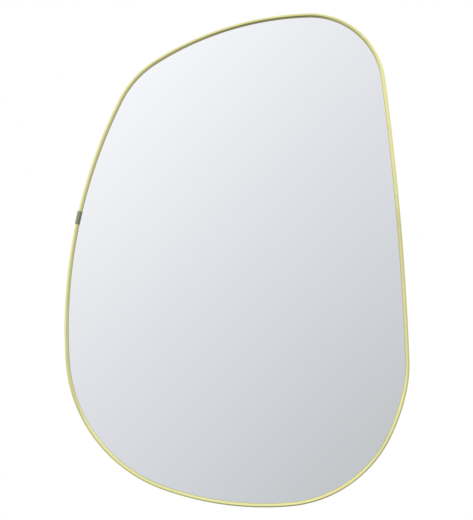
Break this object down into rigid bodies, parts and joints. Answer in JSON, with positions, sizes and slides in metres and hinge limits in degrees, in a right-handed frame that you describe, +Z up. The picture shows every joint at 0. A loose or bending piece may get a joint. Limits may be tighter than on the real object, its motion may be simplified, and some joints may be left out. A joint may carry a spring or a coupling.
{
  "type": "irregular shaped wall mirror",
  "caption": "Asymmetric pebble-shaped wall mirror in a thin half-round brass channel, with a sleeve over the channel's joint and ring hangers behind.",
  "frame": {"origin": "centre of the box round the whole object", "axes": "-Y is the way the mirror faces and +Y points to the wall, +X is to the right as it is looked at, +Z is up"},
  "size_m": [0.5587, 0.0274, 0.8],
  "materials": {
    "channel_brass": "satin polished lemon brass",
    "aged_brass": "aged brass, duller and darker than the channel",
    "mirror_glass": "silvered float glass",
    "backing_film": "pale safety backing film",
    "foam": "white foam mounting tape",
    "fibreboard": "bare medium-density fibreboard",
    "block_plastic": "black setting block",
    "zinc_steel": "bright zinc plated steel",
    "hanger_steel": "nickel plated steel",
    "pad_rubber": "black rubber"
  },
  "bodies": {
    "mirror": {"frame_channel": "channel_brass", "joint_sleeve": "aged_brass", "joint_tongue": "zinc_steel", "mirror_pane": "mirror_glass", "safety_film": "backing_film", "backboard": "fibreboard", "rim_screws": "zinc_steel", "joint_screws": "zinc_steel", "setting_block_left": "block_plastic", "setting_block_right": "block_plastic", "edge_spacer_top": "block_plastic", "edge_spacer_left": "block_plastic", "edge_spacer_right": "block_plastic", "hanger_strap_left": "hanger_steel", "hanger_strap_right": "hanger_steel", "hanger_screws_left": "zinc_steel", "hanger_screws_right": "zinc_steel", "wall_pad_left": "pad_rubber", "wall_pad_right": "pad_rubber", "foam_tape_1": "foam", "foam_tape_2": "foam", "foam_tape_3": "foam", "foam_tape_4": "foam", "foam_tape_5": "foam"},
    "ring_left": {"hanger_ring_left": "hanger_steel"},
    "ring_right": {"hanger_ring_right": "hanger_steel"}
  },
  "joints": [
    {"name": "ring_left_swing", "type": "hinge", "parent": "mirror", "child": "ring_left", "pos_m": [-0.13867, 0.00848, 0.19], "axis": [1, 0, 0], "range_deg": [0, 178.5]},
    {"name": "ring_right_swing", "type": "hinge", "parent": "mirror", "child": "ring_right", "pos_m": [0.16133, 0.00848, 0.19], "axis": [1, 0, 0], "range_deg": [0, 178.5]}
  ]
}
